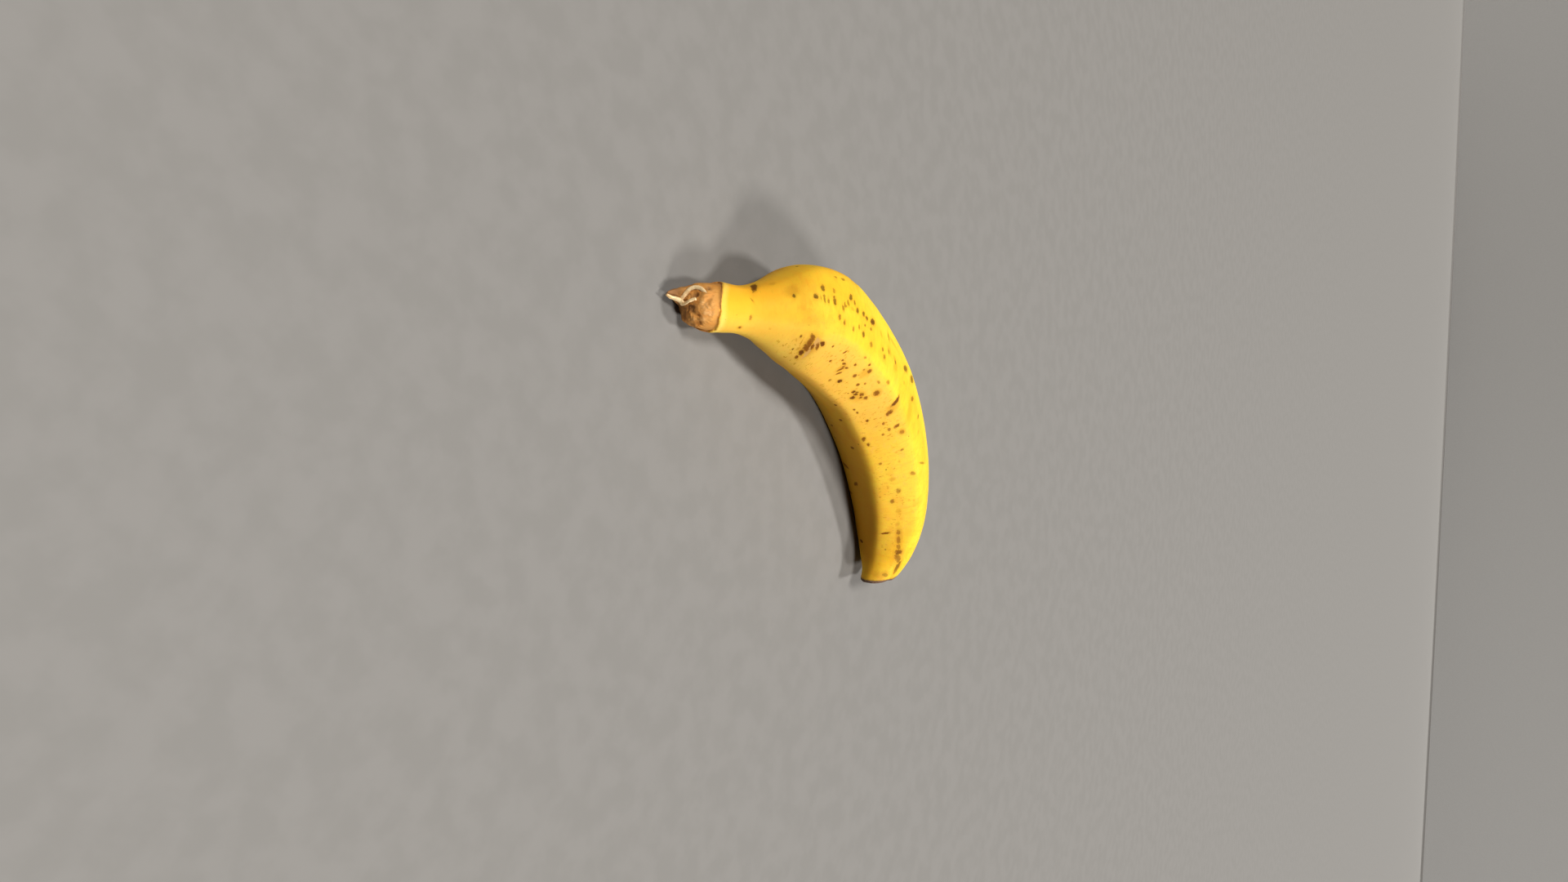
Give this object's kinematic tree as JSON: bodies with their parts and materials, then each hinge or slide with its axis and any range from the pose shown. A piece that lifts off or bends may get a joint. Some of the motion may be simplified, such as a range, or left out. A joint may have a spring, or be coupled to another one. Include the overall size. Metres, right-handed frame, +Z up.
{
  "type": "banana",
  "caption": "Ripe banana lying on its side: curved five-ridged peel, short torn stem and blunt blossom tip, grown as one solid piece.",
  "frame": {"origin": "centre of the box round the fruit, on the surface that it lies on", "axes": "+Z up from the surface, +X from the torn stem end to the blossom tip, +Y towards the outer side of the bend"},
  "size_m": [0.1636, 0.062, 0.0347],
  "materials": {
    "peel": "satin, ripe yellow with brown speckles"
  },
  "bodies": {
    "root": {"banana": "peel"}
  },
  "joints": []
}
